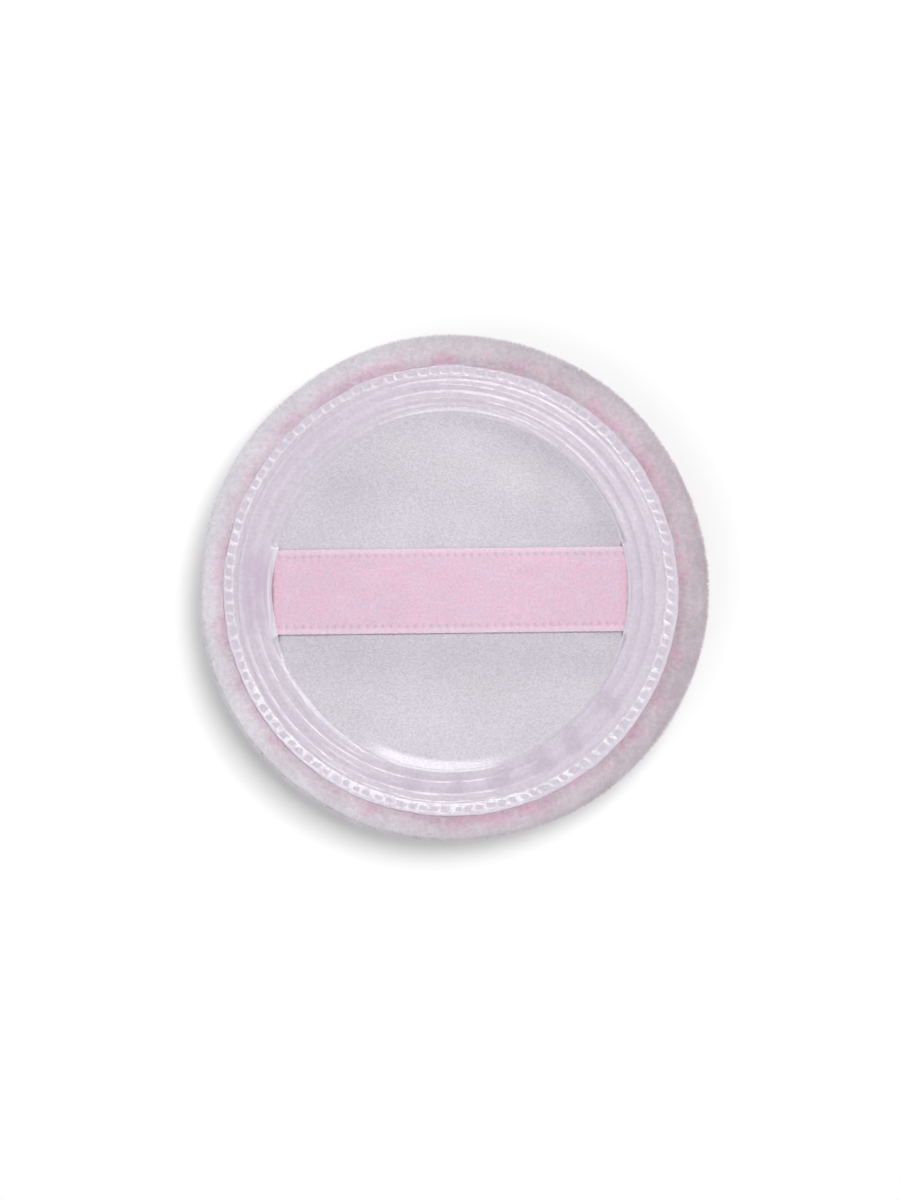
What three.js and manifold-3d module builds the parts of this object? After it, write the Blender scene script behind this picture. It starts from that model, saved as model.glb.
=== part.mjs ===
// Round cosmetic powder puff, lying on its plush face with the ribbon side up.
// Plies from the table up: velour face, foam core, weld film, satin back panel. Their edges are
// melted together into a moulded rim with concentric ridges and a knurled edge, and a satin ribbon
// is stretched across the back as a finger strap, with its two tails caught under that rim.
// Millimetres, +Z up, X along the ribbon, origin under the middle of the plush face.
import * as THREE from 'three';
import { mergeGeometries, mergeVertices } from 'three/addons/utils/BufferGeometryUtils.js';
import Module from 'manifold-3d';

// Driving dimensions of the plush face
const CUT_DIAMETER = 53.6; // trimmed edge of the welded rim
const PILE_FLARE = 3.2; // pile standing out past the trimmed edge
const PILE_LENGTH = 3.2; // pile under the face
const GROUND_THICKNESS = 0.6; // knitted ground cloth that carries the pile
const FACE_DROP = 2.4; // how far the foam pushes the face down below the rim
const FLAT_DIAMETER = 28; // patch that lies flat on the table
const BELLY_HEIGHT = 5; // height at which the pile is widest
const PILE_OVER_RIM = 0.1; // pile standing higher than the rim around it
const CREASE_DEPTH = 0.6; // pile parting next to the trimmed edge

// Driving dimensions of the back
const SATIN_THICKNESS = 0.25;
const FILM_THICKNESS = 0.15;
const PILLOW_RISE = 1.6; // crown of the satin panel over the foam
const FOAM_MARGIN = 0.9; // foam edge inside the rim

// Driving dimensions of the welded rim
const FLANGE_THICKNESS = 0.7; // rim above the satin margin
const BEAD_WIDTH = 1.7; // outer edge, where every ply is melted into one
const TRIM_LIP = 0.35; // plain lip outside the knurl
const KNURL_BAND = 1.1; // radial width of the knurled band
const KNURL_TEETH = 120;
const KNURL_RIB = 0.4; // rib left between two pockets
const KNURL_DEPTH = 0.3;
const KNURL_GROOVE = 0.25; // plain groove inside the knurl
const RIDGE_COUNT = 3;
const RIDGE_PITCH = 1.4;
const RIDGE_HEIGHT = 0.3;

// Driving dimensions of the ribbon
const RIBBON_WIDTH = 10;
const RIBBON_THICKNESS = 0.25;
const RIBBON_SLACK = 0.3; // how far the ribbon stands off the crown of the satin
const TAIL_LENGTH = 3.6; // welded end under the rim

// Clearances
const PLY_GAP = 0.1; // between plies that lie on each other
const SPLIT_GAP = 0.3; // between the strap and its welded tails
const LIP_CLEARANCE = 0.15; // strap end to the lip of the rim

// Facets
const RIM_SEGMENTS = KNURL_TEETH; // one facet for each knurl pocket
const CLOTH_SEGMENTS = 72;
const INNER_SEGMENTS = 40; // plies that never show
const RIDGE_STEPS = 6;
const PILLOW_STEPS = 7;
const DISH_STEPS = 6;
const ARC_STEPS = 6;
const RIBBON_STEPS = 28;

// Shape of the soft curves
const PILLOW_POWER = 4; // flat middle, round shoulder
const DISH_POWER = 2.2;

// Radii that follow
const cutRadius = CUT_DIAMETER / 2;
const knurlOuter = cutRadius - TRIM_LIP;
const knurlInner = knurlOuter - KNURL_BAND;
const ridgeOuter = knurlInner - KNURL_GROOVE;
const rimInner = ridgeOuter - RIDGE_COUNT * RIDGE_PITCH;
const beadInner = cutRadius - BEAD_WIDTH;
const panelRadius = beadInner - PLY_GAP;
const foamRadius = rimInner - FOAM_MARGIN;
const bellyRadius = cutRadius + PILE_FLARE;
const strapRadius = rimInner - LIP_CLEARANCE;
const tailInner = strapRadius + SPLIT_GAP;
const tailOuter = tailInner + TAIL_LENGTH;

// Heights that follow, from the table up
const groundTop = PILE_LENGTH + GROUND_THICKNESS + FACE_DROP;
const filmBottom = groundTop + PLY_GAP;
const satinBottom = filmBottom + FILM_THICKNESS + PLY_GAP;
const satinTop = satinBottom + SATIN_THICKNESS;
const flangeBottom = satinTop + PLY_GAP;
const flangeTop = flangeBottom + FLANGE_THICKNESS;
const tailBottom = satinTop + PLY_GAP;
const reliefTop = tailBottom + RIBBON_THICKNESS + PLY_GAP;
const knurlTop = flangeTop + RIDGE_HEIGHT;
const pileTop = knurlTop + PILE_OVER_RIM;

const wasm = await Module();
wasm.setup();

// A geometry as a closed solid, ready to be joined or cut.
function toSolid(geometry) {
  const bare = geometry.clone();
  bare.deleteAttribute('normal');
  bare.deleteAttribute('uv');
  const merged = mergeVertices(bare);
  return new wasm.Manifold(
    new wasm.Mesh({
      numProp: 3,
      vertProperties: new Float32Array(merged.attributes.position.array),
      triVerts: new Uint32Array(merged.index.array),
    }),
  );
}

// A closed solid back as a geometry with its own normals.
function toGeometry(solid) {
  const mesh = solid.getMesh();
  const geometry = new THREE.BufferGeometry();
  geometry.setAttribute('position', new THREE.BufferAttribute(mesh.vertProperties, 3));
  geometry.setIndex(new THREE.BufferAttribute(mesh.triVerts, 1));
  geometry.computeVertexNormals();
  return geometry;
}

// Turns an outline of [radius, height] pairs about the Z axis.
function revolve(outline, segments) {
  const points = outline.map(([radius, height]) => new THREE.Vector2(radius, height));
  return new THREE.LatheGeometry(points, segments).rotateX(Math.PI / 2);
}

// Points of a quarter ellipse from angle a to angle b, both ends included.
function ellipseArc(centreR, centreZ, radiusR, radiusZ, a, b) {
  return Array.from({ length: ARC_STEPS + 1 }, (_, i) => {
    const angle = a + ((b - a) * i) / ARC_STEPS;
    return [centreR + radiusR * Math.cos(angle), centreZ + radiusZ * Math.sin(angle)];
  });
}

// Radii from the axis out to the given one, evenly spaced, both ends included.
function radii(outer, steps) {
  return Array.from({ length: steps + 1 }, (_, i) => (outer * i) / steps);
}

// Height of the satin over its welded margin: flat middle, rounded down to the rim.
function pillow(radius) {
  const share = Math.min(radius / rimInner, 1);
  return PILLOW_RISE * (1 - share ** PILLOW_POWER);
}

// Inside of the face cloth: a shallow dish below the rim.
function dish(radius) {
  const share = Math.min(radius / rimInner, 1);
  return groundTop - FACE_DROP * (1 - share ** DISH_POWER);
}

// A round plug about the Z axis that is taller than the whole puff.
function plug(radius) {
  const height = 4 * pileTop;
  return toSolid(new THREE.CylinderGeometry(radius, radius, height, RIM_SEGMENTS).rotateX(Math.PI / 2));
}

function velourFace() {
  const flatRadius = FLAT_DIAMETER / 2;
  const wallRadius = cutRadius + PLY_GAP;
  const crestRadius = wallRadius + CREASE_DEPTH;
  const under = ellipseArc(
    flatRadius, BELLY_HEIGHT, bellyRadius - flatRadius, BELLY_HEIGHT, -Math.PI / 2, 0,
  );
  const over = ellipseArc(
    crestRadius, BELLY_HEIGHT, bellyRadius - crestRadius, pileTop - BELLY_HEIGHT, 0, Math.PI / 2,
  );
  const inside = radii(rimInner, DISH_STEPS).map((radius) => [radius, dish(radius)]).reverse();
  return revolve(
    [
      [0, 0],
      ...under,
      ...over.slice(1),
      [wallRadius, pileTop - CREASE_DEPTH],
      [wallRadius, groundTop],
      ...inside,
    ],
    CLOTH_SEGMENTS,
  );
}

function foamCore() {
  const bottom = radii(foamRadius, DISH_STEPS).map((radius) => [radius, dish(radius) + PLY_GAP]);
  const top = radii(foamRadius, PILLOW_STEPS).map((radius) => [
    radius,
    filmBottom - PLY_GAP + pillow(radius),
  ]);
  return revolve([...bottom, ...top.reverse()], INNER_SEGMENTS);
}

// A ply that crowns over the foam and runs on flat under the rim.
function crownedPly(bottom, thickness, segments) {
  const lower = [
    ...radii(rimInner, PILLOW_STEPS).map((radius) => [radius, bottom + pillow(radius)]),
    [panelRadius, bottom],
  ];
  const upper = lower.map(([radius, height]) => [radius, height + thickness]).reverse();
  return revolve([...lower, ...upper], segments);
}

// Small boxes side by side round the rim, one for each knurl pocket, as one cutter.
function knurlCutter() {
  const middle = (knurlInner + knurlOuter) / 2;
  const pitch = (2 * Math.PI * middle) / KNURL_TEETH;
  const height = 2 * KNURL_DEPTH;
  const boxes = Array.from({ length: KNURL_TEETH }, (_, i) => {
    const angle = (2 * Math.PI * (i + 0.5)) / KNURL_TEETH;
    return new THREE.BoxGeometry(KNURL_BAND, pitch - KNURL_RIB, height)
      .translate(middle * Math.cos(Math.PI / KNURL_TEETH), 0, knurlTop)
      .rotateZ(angle);
  });
  return toSolid(mergeGeometries(boxes));
}

// Room for one ribbon tail in the underside of the rim, on the side given by its sign.
function tailRelief(side) {
  const outer = tailOuter + PLY_GAP;
  const height = 2 * (reliefTop - flangeBottom);
  return toSolid(
    new THREE.BoxGeometry(outer, RIBBON_WIDTH + 2 * PLY_GAP, height).translate(
      (side * outer) / 2, 0, flangeBottom,
    ),
  );
}

// Ridged flange over the satin margin, with the solid knurled bead outside it.
function weldRim() {
  const ridges = Array.from({ length: RIDGE_COUNT * RIDGE_STEPS + 1 }, (_, i) => {
    const turn = i / RIDGE_STEPS;
    const wave = (1 - Math.cos(2 * Math.PI * turn)) / 2;
    return [ridgeOuter - turn * RIDGE_PITCH, flangeTop + RIDGE_HEIGHT * wave];
  });
  const outline = [
    [rimInner, flangeBottom],
    [beadInner, flangeBottom],
    [beadInner, filmBottom],
    [cutRadius, filmBottom],
    [cutRadius, flangeTop],
    [knurlOuter, knurlTop],
    [knurlInner, knurlTop],
    ...ridges,
    [rimInner, flangeBottom],
  ];
  const blank = toSolid(revolve(outline, RIM_SEGMENTS));
  return toGeometry(
    blank.subtract(knurlCutter()).subtract(tailRelief(1)).subtract(tailRelief(-1)),
  );
}

// Underside of the strap along X: on the satin at the rim, standing off it a little in the middle.
function strapUnderside(x) {
  const share = x / strapRadius;
  return satinTop + pillow(Math.abs(x)) + PLY_GAP + RIBBON_SLACK * (1 - share * share);
}

function ribbonStrap() {
  const along = Array.from({ length: RIBBON_STEPS + 1 }, (_, i) => {
    const share = (2 * i) / RIBBON_STEPS - 1;
    return rimInner * share;
  });
  const lower = along.map((x) => new THREE.Vector2(x, strapUnderside(x)));
  const upper = lower.map((p) => new THREE.Vector2(p.x, p.y + RIBBON_THICKNESS)).reverse();
  const band = new THREE.ExtrudeGeometry(new THREE.Shape([...lower, ...upper]), {
    depth: RIBBON_WIDTH,
    bevelEnabled: false,
  });
  band.translate(0, 0, -RIBBON_WIDTH / 2).rotateX(Math.PI / 2);
  return toGeometry(toSolid(band).intersect(plug(strapRadius)));
}

// The end of the ribbon under the rim, on the side given by its sign.
function ribbonTail(side) {
  const tape = new THREE.BoxGeometry(tailOuter, RIBBON_WIDTH, RIBBON_THICKNESS).translate(
    (side * tailOuter) / 2, 0, tailBottom + RIBBON_THICKNESS / 2,
  );
  return toGeometry(toSolid(tape).subtract(plug(tailInner)));
}

const finishes = {
  velour: new THREE.MeshStandardMaterial({ color: 0xdccfd8, roughness: 0.95, metalness: 0 }),
  foam: new THREE.MeshStandardMaterial({ color: 0xeae6dc, roughness: 0.9, metalness: 0 }),
  film: new THREE.MeshStandardMaterial({ color: 0xd9d3de, roughness: 0.25, metalness: 0 }),
  satin: new THREE.MeshStandardMaterial({ color: 0xd5cfd9, roughness: 0.45, metalness: 0 }),
  ribbon: new THREE.MeshStandardMaterial({ color: 0xe6c5da, roughness: 0.4, metalness: 0 }),
};

const puff = new THREE.Group();
puff.name = 'powder_puff';

function add(name, geometry, finish) {
  const mesh = new THREE.Mesh(geometry, finishes[finish]);
  mesh.name = name;
  puff.add(mesh);
}

add('velour_face', velourFace(), 'velour');
add('foam_core', foamCore(), 'foam');
add('weld_film', crownedPly(filmBottom, FILM_THICKNESS, INNER_SEGMENTS), 'film');
add('back_panel', crownedPly(satinBottom, SATIN_THICKNESS, CLOTH_SEGMENTS), 'satin');
add('weld_rim', weldRim(), 'film');
add('ribbon_strap', ribbonStrap(), 'ribbon');
add('ribbon_tail_right', ribbonTail(1), 'ribbon');
add('ribbon_tail_left', ribbonTail(-1), 'ribbon');

export default puff;
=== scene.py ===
import math

import bpy
import numpy as np
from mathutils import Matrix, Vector


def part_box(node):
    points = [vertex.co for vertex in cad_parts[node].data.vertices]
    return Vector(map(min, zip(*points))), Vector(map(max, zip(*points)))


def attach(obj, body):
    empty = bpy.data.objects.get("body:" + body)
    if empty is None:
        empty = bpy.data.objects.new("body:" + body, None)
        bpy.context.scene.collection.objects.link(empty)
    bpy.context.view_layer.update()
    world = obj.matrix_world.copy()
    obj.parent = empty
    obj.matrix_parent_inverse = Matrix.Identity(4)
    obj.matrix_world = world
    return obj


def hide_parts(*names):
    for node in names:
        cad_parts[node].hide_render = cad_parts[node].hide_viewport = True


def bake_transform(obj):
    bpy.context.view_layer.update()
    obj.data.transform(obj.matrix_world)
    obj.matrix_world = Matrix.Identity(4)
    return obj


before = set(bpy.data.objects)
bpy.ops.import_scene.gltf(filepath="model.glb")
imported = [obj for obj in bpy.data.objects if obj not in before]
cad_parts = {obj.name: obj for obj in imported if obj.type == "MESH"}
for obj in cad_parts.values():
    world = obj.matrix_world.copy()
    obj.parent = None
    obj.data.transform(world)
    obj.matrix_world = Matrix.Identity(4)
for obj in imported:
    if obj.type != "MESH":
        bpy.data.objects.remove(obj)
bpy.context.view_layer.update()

bl_info = {
    "name": "Powder puff",
    "version": (1, 0, 0),
    "blender": (4, 5, 0),
    "location": "View3D > Sidebar > Puff",
    "description": "Plush, satin back, welded rim and ribbon of a round powder puff",
    "category": "Object",
}

MM = 0.001
VELOUR_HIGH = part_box("velour_face")[1]
RIM_LOW, RIM_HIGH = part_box("weld_rim")
PANEL_LOW, PANEL_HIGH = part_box("back_panel")
STRAP_LOW, STRAP_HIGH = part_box("ribbon_strap")

# Plush, in millimetres
REST_RADIUS = 14.0  # patch that lies flat on the table
BELLY_HEIGHT = 5.0  # height at which the plush is widest
SHOULDER_RADIUS = 24.5  # where the side of the plush begins
MIDDLE_RADIUS = 17.0  # between the outer and the inner strands of the face
SKIN_COLUMNS = 720  # points round the plush
STRAND_POINTS = 7  # three at the foot of a strand, three at its waist and its tip

# Cloth simulation: pressure, slack, frames, and the most that a point may move in millimetres
PLUSH_CLOTH = (2.5, 0.004, 16, 0.1)
SATIN_CLOTH = (0.8, 0.012, 20, 0.15)

RIBBON_SKEW = 0.6  # degrees that the ribbon lies askew
FLAT = (1, 1, 0)  # a place without its height


def linear(red, green, blue):
    """A colour as seen on a screen, 0 to 255, as the linear values that a shader takes."""
    share = np.array([red, green, blue]) / 255
    low, high = share / 12.92, ((share + 0.055) / 1.055) ** 2.4
    return tuple(float(x) for x in np.where(share <= 0.04045, low, high))


def length(name, description, default):
    """A size that a user may change, in metres."""
    return bpy.props.FloatProperty(
        name=name, description=description, default=default, min=0, unit="LENGTH", precision=5
    )


def colour(name, description, default):
    """A colour that a user may change, in linear values."""
    return bpy.props.FloatVectorProperty(
        name=name, description=description, default=default, min=0, max=1, size=3, subtype="COLOR"
    )


class PuffSizes(bpy.types.PropertyGroup):
    """Sizes that set the look of the puff."""

    belly_radius: length("Belly radius", "Widest radius of the plush", VELOUR_HIGH.x)
    rim_radius: length("Rim radius", "Trimmed edge of the welded rim", RIM_HIGH.x - 0.18 * MM)
    rim_inner: length("Rim opening", "Inner edge of the welded rim", STRAP_HIGH.x - 0.05 * MM)
    ridge_pitch: length("Ridge pitch", "From one ridge of the rim to the next", 1.5 * MM)
    ridge_height: length("Ridge height", "Height of a ridge over its groove", 0.09 * MM)
    knurl_depth: length("Knurl depth", "Height of a rib of the knurled edge", 0.07 * MM)
    knurl_teeth: bpy.props.IntProperty(
        name="Knurl teeth", description="Ribs round the knurled edge", default=120, min=12
    )
    ribbon_width: length("Ribbon width", "Width of the satin tape", STRAP_HIGH.y - STRAP_LOW.y)
    ribbon_thickness: length("Ribbon thickness", "Thickness of the satin tape", 0.22 * MM)
    stitch_pitch: length("Stitch pitch", "From one selvedge stitch to the next", 0.94 * MM)
    satin_thickness: length("Satin thickness", "Thickness of the back panel", 0.25 * MM)
    pile_length: length("Pile length", "How far the pile stands out of its ground", 0.6 * MM)
    fibre_width: length("Fibre width", "Thickness of one strand of the pile", 0.055 * MM)


class PuffColours(bpy.types.PropertyGroup):
    """Colours of the puff, as its surfaces are painted."""

    pile_tip: colour("Pile tips", "Outer ends of the pile", linear(230, 226, 233))
    # Pile shade is a painted shade, for the side of the pile away from the light
    pile_shade: colour("Pile shade", "Pile where its nap lies away from the light", linear(206, 193, 201))
    pile_root: colour("Pile roots", "Pink deep in the pile by the rim", linear(220, 174, 199))
    satin: colour("Satin", "Back panel", linear(209, 204, 214))
    satin_shade: colour("Satin shade", "Duller patches of the back panel", linear(206, 200, 209))
    film: colour("Film", "Milky welded rim", linear(218, 209, 222))
    # Film ribs is the white of the ribs and of the highlights painted on the film
    film_white_and_highlight: colour("Film ribs", "White ribs of the knurled edge", linear(246, 243, 249))
    # Film deep is the random clouding of the film and the painted shade of its grooves and creases
    film_cloud_and_groove_shade: colour("Film deep", "Grooves of the rim", linear(203, 192, 207))
    film_tail: colour("Film over the tape", "Rim over the end of the tape", linear(204, 180, 204))
    ribbon: colour("Ribbon", "Middle of the tape", linear(229, 192, 212))
    ribbon_cool: colour("Ribbon cool", "Cooler threads of the tape", linear(222, 198, 218))
    ribbon_edge: colour("Ribbon selvedge", "Woven edge of the tape", linear(230, 206, 222))
    # A darker copy of Ribbon ends is the painted shade where the tape goes under the rim
    ribbon_deep: colour("Ribbon ends", "Where the tape goes under the rim", linear(222, 178, 196))
    foam: colour("Foam", "Soft core", linear(236, 232, 222))
    floor: colour("Floor", "Table and background", (0.97, 0.97, 0.97))


def smooth(start, end, x):
    """0 before start, 1 after end, and a smooth S between them."""
    share = np.clip((x - start) / (end - start), 0, 1)
    return share * share * (3 - 2 * share)


def waves(points, wavelength, seed, count=14):
    """Smooth random relief: the mean of plane waves in random directions, about -1 to 1."""
    rng = np.random.default_rng(seed)
    heading = rng.normal(size=(count, 3))
    heading /= np.linalg.norm(heading, axis=1, keepdims=True)
    pace = rng.uniform(0.6, 1.5, count) / wavelength
    phase = rng.uniform(0, 2 * np.pi, count)
    angle = points @ (heading * pace[:, None]).T * 2 * np.pi + phase
    return np.sin(angle).sum(-1) / math.sqrt(count / 2) / 2


def lattice(rows, columns, wrap_rows=False, wrap_columns=False):
    """Quads between neighbours of a grid of points, closed on itself where asked."""
    i = np.arange(rows if wrap_rows else rows - 1)[:, None]
    j = np.arange(columns if wrap_columns else columns - 1)[None, :]
    below, right = (i + 1) % rows, (j + 1) % columns
    corners = [i * columns + j, i * columns + right, below * columns + right, below * columns + j]
    return np.stack(np.broadcast_arrays(*corners), -1).reshape(-1, 4)


def volume(points, faces):
    """Signed volume inside closed faces, from the tetrahedra that they make with the origin."""
    total = 0.0
    for batch in faces:
        first = points[batch[:, 0]]
        for k in range(1, batch.shape[1] - 1):
            normal = np.cross(points[batch[:, k]], points[batch[:, k + 1]])
            total += np.einsum("ij,ij->", first, normal)
    return total / 6


def put_mesh(name, points, faces, uv=None, caps=0, **values):
    """A new object from points in millimetres, with its faces turned outwards and its last caps flat."""
    if volume(points, faces) < 0:
        faces = [batch[:, ::-1] for batch in faces]
    corners = np.concatenate([batch.ravel() for batch in faces]).astype(np.int32)
    counts = np.concatenate([np.full(len(batch), batch.shape[1]) for batch in faces])
    starts = np.concatenate([[0], np.cumsum(counts)[:-1]]).astype(np.int32)
    mesh = bpy.data.meshes.new(name)
    mesh.vertices.add(len(points))
    mesh.vertices.foreach_set("co", (points * MM).astype(np.float32).ravel())
    mesh.loops.add(len(corners))
    mesh.loops.foreach_set("vertex_index", corners)
    mesh.polygons.add(len(starts))
    mesh.polygons.foreach_set("loop_start", starts)
    mesh.polygons.foreach_set("use_smooth", np.arange(len(starts)) < len(starts) - caps)
    if uv is not None:
        layer = mesh.uv_layers.new(name="UVMap")
        layer.uv.foreach_set("vector", uv[corners].astype(np.float32).ravel())
    for key, value in values.items():
        mesh.attributes.new(key, "FLOAT", "POINT").data.foreach_set("value", value.astype(np.float32))
    mesh.update(calc_edges=True)
    mesh.validate()
    piece = bpy.data.objects.new(name, mesh)
    bpy.context.scene.collection.objects.link(piece)
    return piece


def relax(points, faces, pinned, pressure, slack, frames):
    """Cloth simulation of a skin that is pinned at some points and blown out by pressure.

    The skin is simulated at twenty times its size, where the solver is steady, with gravity off,
    and its points come back in millimetres.
    """
    enlarge = 20
    skin = put_mesh("skin", points * enlarge, faces)
    held = skin.vertex_groups.new(name="pinned")
    held.add(np.flatnonzero(pinned).tolist(), 1.0, "REPLACE")
    cloth = skin.modifiers.new("Cloth", "CLOTH")
    cloth.settings.quality = 5
    cloth.settings.mass = 0.25
    cloth.settings.tension_stiffness = 12
    cloth.settings.compression_stiffness = 12
    cloth.settings.bending_stiffness = 0.4
    cloth.settings.vertex_group_mass = "pinned"
    cloth.settings.use_pressure = True
    cloth.settings.uniform_pressure_force = pressure
    cloth.settings.shrink_min = -slack
    cloth.settings.effector_weights.gravity = 0
    cloth.collision_settings.use_collision = False
    cloth.point_cache.frame_start = 1
    cloth.point_cache.frame_end = frames
    scene = bpy.context.scene
    for step in range(1, frames + 1):
        scene.frame_set(step)
    settled = skin.evaluated_get(bpy.context.evaluated_depsgraph_get()).to_mesh()
    found = np.empty(len(points) * 3, np.float32)
    settled.vertices.foreach_get("co", found)
    mesh = skin.data
    bpy.data.objects.remove(skin)
    bpy.data.meshes.remove(mesh)
    scene.frame_set(1)
    return found.reshape(-1, 3).astype(float) / enlarge / MM


def capped(start, end, most):
    """Points moved from start towards end, but by no more than the given distance."""
    move = end - start
    reach = np.linalg.norm(move, axis=-1, keepdims=True)
    return start + move * np.minimum(1, most / np.maximum(reach, 1e-9))


class Form:
    """The sizes of the puff in millimetres, and the heights that its pieces share."""

    def __init__(self, sizes):
        self.belly = sizes.belly_radius / MM
        self.rim = sizes.rim_radius / MM
        self.inner = sizes.rim_inner / MM
        self.ridge_pitch = sizes.ridge_pitch / MM
        self.ridge_height = sizes.ridge_height / MM
        self.knurl_depth = sizes.knurl_depth / MM
        self.teeth = sizes.knurl_teeth
        self.half_width = sizes.ribbon_width / MM / 2
        self.tape = sizes.ribbon_thickness / MM
        self.stitch = sizes.stitch_pitch / MM
        self.satin = sizes.satin_thickness / MM
        self.pile = sizes.pile_length / MM
        self.fibre = sizes.fibre_width / MM
        self.panel = PANEL_HIGH.x / MM
        self.margin_top = PANEL_LOW.z / MM + self.satin
        self.crown_top = PANEL_HIGH.z / MM
        self.rim_top = RIM_HIGH.z / MM
        self.rim_low = RIM_LOW.z / MM
        self.pile_top = VELOUR_HIGH.z / MM
        self.tilt = math.tan(math.radians(RIBBON_SKEW))
        self.steps = np.linspace(0, self.inner + 0.6, 1400)
        self.taut, self.slack = self.drawn(fall=1.25, rise=0.36), self.drawn(fall=0.74, rise=0.0)

    def drawn(self, fall, rise):
        """Heights of the satin along its radius: a dome that falls away, then rises to the rim's lip."""
        bend = smooth(self.inner - 2.1, self.inner - 1.1, self.steps)
        level = 1 - smooth(self.inner - 0.1, self.inner + 0.25, self.steps)
        slope = np.gradient(self.dome(self.steps, fall), self.steps) * (1 - bend) + rise * bend * level
        return self.crown_top + np.cumsum(slope) * self.steps[1]

    def under_tape(self, x, y, fade=0.8):
        """1 under the ribbon, 0 away from it."""
        return 1 - smooth(self.half_width + 0.05, self.half_width + fade, np.abs(y - self.tilt * x))

    def dome(self, radius, fall):
        """The satin over the foam, a low dome."""
        return self.crown_top - fall * (radius / (self.inner - 1.6)) ** 2.4

    def crown(self, radius):
        """The satin under the ribbon, pressed down at its ends, and let down to its margin under the rim."""
        down = smooth(self.inner, self.inner + 0.8, radius)
        height = np.interp(radius, self.steps, self.slack) - 0.22 * smooth(8, self.inner, radius)
        return height * (1 - down) + self.margin_top * down

    def pull(self, angle):
        """1 at the bottom of the opening, where the satin is drawn tightest, 0 elsewhere."""
        degrees = np.degrees(angle) % 360
        return smooth(233, 256, degrees) * smooth(309, 284, degrees)

    def opening(self, angle):
        """How far the opening is drawn out of round: lower left to bottom, and at the ribbon's left end."""
        degrees = np.degrees(angle) % 360
        end = 0.28 * np.exp(-(((degrees - 180) / 9) ** 2))
        side = 0.27 * smooth(184, 200, degrees) * smooth(309, 284, degrees)
        return side + 0.2 * self.pull(angle) + end

    def stretch(self, radius, angle):
        """The opening's pull on the rim, which fades out over its inner ridges."""
        return self.opening(angle) * smooth(self.inner + 2.5, self.inner, radius)

    def satin_top(self, x, y):
        """The dome, drawn up to the rim's lip and tightest at the bottom, or let down under the ribbon."""
        radius, angle = np.hypot(x, y), np.arctan2(y, x)
        pull = self.pull(angle)
        shift = self.opening(angle) + 0.3 * pull
        reach = radius - shift * smooth(self.inner - 5, self.inner - 1, radius)
        taut, slack = (np.interp(reach, self.steps, heights) for heights in (self.taut, self.slack))
        down = smooth(self.inner + 0.45, self.inner + 1.2, reach)
        drawn = (taut * pull + slack * (1 - pull)) * (1 - down) + self.margin_top * down
        tape = self.under_tape(x, y, 3.2)
        return drawn * (1 - tape) + self.crown(radius) * tape

    def tape_under(self, x):
        """Underside of the ribbon: on the satin at the rim, clear of it in the middle."""
        reach = np.minimum(np.abs(x) / self.inner, 1)
        return self.crown(np.abs(x)) + 0.1 + 0.3 * (1 - reach**2)

    def lip_floor(self, x, y):
        """What the rim's lip lies on: the satin, or the ribbon where it goes under."""
        tape = self.under_tape(x, y)
        return self.satin_top(x, y) * (1 - tape) + (self.tape_under(x) + self.tape) * tape

    def oval(self, angle):
        """The rim is a little wider along the ribbon than across it."""
        return 1 + 0.0047 * np.cos(2 * angle)


def shader(name):
    """A new material with a Principled surface; gives the material, its nodes and that surface."""
    made = bpy.data.materials.new(name)
    made.use_nodes = True
    tree = made.node_tree
    tree.nodes.clear()
    surface = tree.nodes.new("ShaderNodeBsdfPrincipled")
    output = tree.nodes.new("ShaderNodeOutputMaterial")
    tree.links.new(surface.outputs["BSDF"], output.inputs["Surface"])
    return made, tree, surface


def put(tree, kind, feeds, **settings):
    """A new node with its settings, and each input either linked or set to a value."""
    made = tree.nodes.new(kind)
    for key, value in settings.items():
        setattr(made, key, value)
    for key, value in feeds.items():
        if isinstance(value, bpy.types.NodeSocket):
            tree.links.new(value, made.inputs[key])
        else:
            made.inputs[key].default_value = value
    return made


def mix(tree, factor, first, second):
    """A colour between two others."""
    colours = [c if isinstance(c, bpy.types.NodeSocket) else (*c, 1) for c in (first, second)]
    feeds = {0: factor, 6: colours[0], 7: colours[1]}
    return put(tree, "ShaderNodeMix", feeds, data_type="RGBA").outputs[2]


def ramp(tree, value, low, high, start=0.0, end=1.0):
    """A value carried smoothly from one range to another."""
    feeds = {"Value": value, "From Min": low, "From Max": high, "To Min": start, "To Max": end}
    kind = "ShaderNodeMapRange"
    return put(tree, kind, feeds, interpolation_type="SMOOTHSTEP").outputs["Result"]


def maths(tree, operation, first, second=0.0):
    """One step of arithmetic on one or two values."""
    return put(tree, "ShaderNodeMath", {0: first, 1: second}, operation=operation).outputs[0]


def noise(tree, vector, size, detail=2.0, rough=0.5):
    """Soft noise whose blotches are about the given size in metres."""
    feeds = {"Vector": vector, "Scale": 1 / size, "Detail": detail, "Roughness": rough}
    return put(tree, "ShaderNodeTexNoise", feeds).outputs["Fac"]


def product(tree, first, *others):
    """Values multiplied together."""
    for other in others:
        first = maths(tree, "MULTIPLY", first, other)
    return first


def scaled(tree, vector, factor):
    """A place or a colour multiplied by another one, or by a value."""
    return put(tree, "ShaderNodeVectorMath", {0: vector, 1: factor}, operation="MULTIPLY").outputs[0]


def measure(tree, operation, first, second=(0, 0, 0)):
    """A length, a distance or a dot product."""
    return put(tree, "ShaderNodeVectorMath", {0: first, 1: second}, operation=operation).outputs["Value"]


def axes(tree, vector):
    """The X, Y and Z of a place."""
    return put(tree, "ShaderNodeSeparateXYZ", {0: vector}).outputs


def painted(tree, name):
    """A mask that the mesh carries at its points."""
    return put(tree, "ShaderNodeAttribute", {}, attribute_name=name).outputs["Fac"]


def dimmed(tint, share):
    """A darker share of a colour."""
    return tuple(share * c for c in tint)


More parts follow.
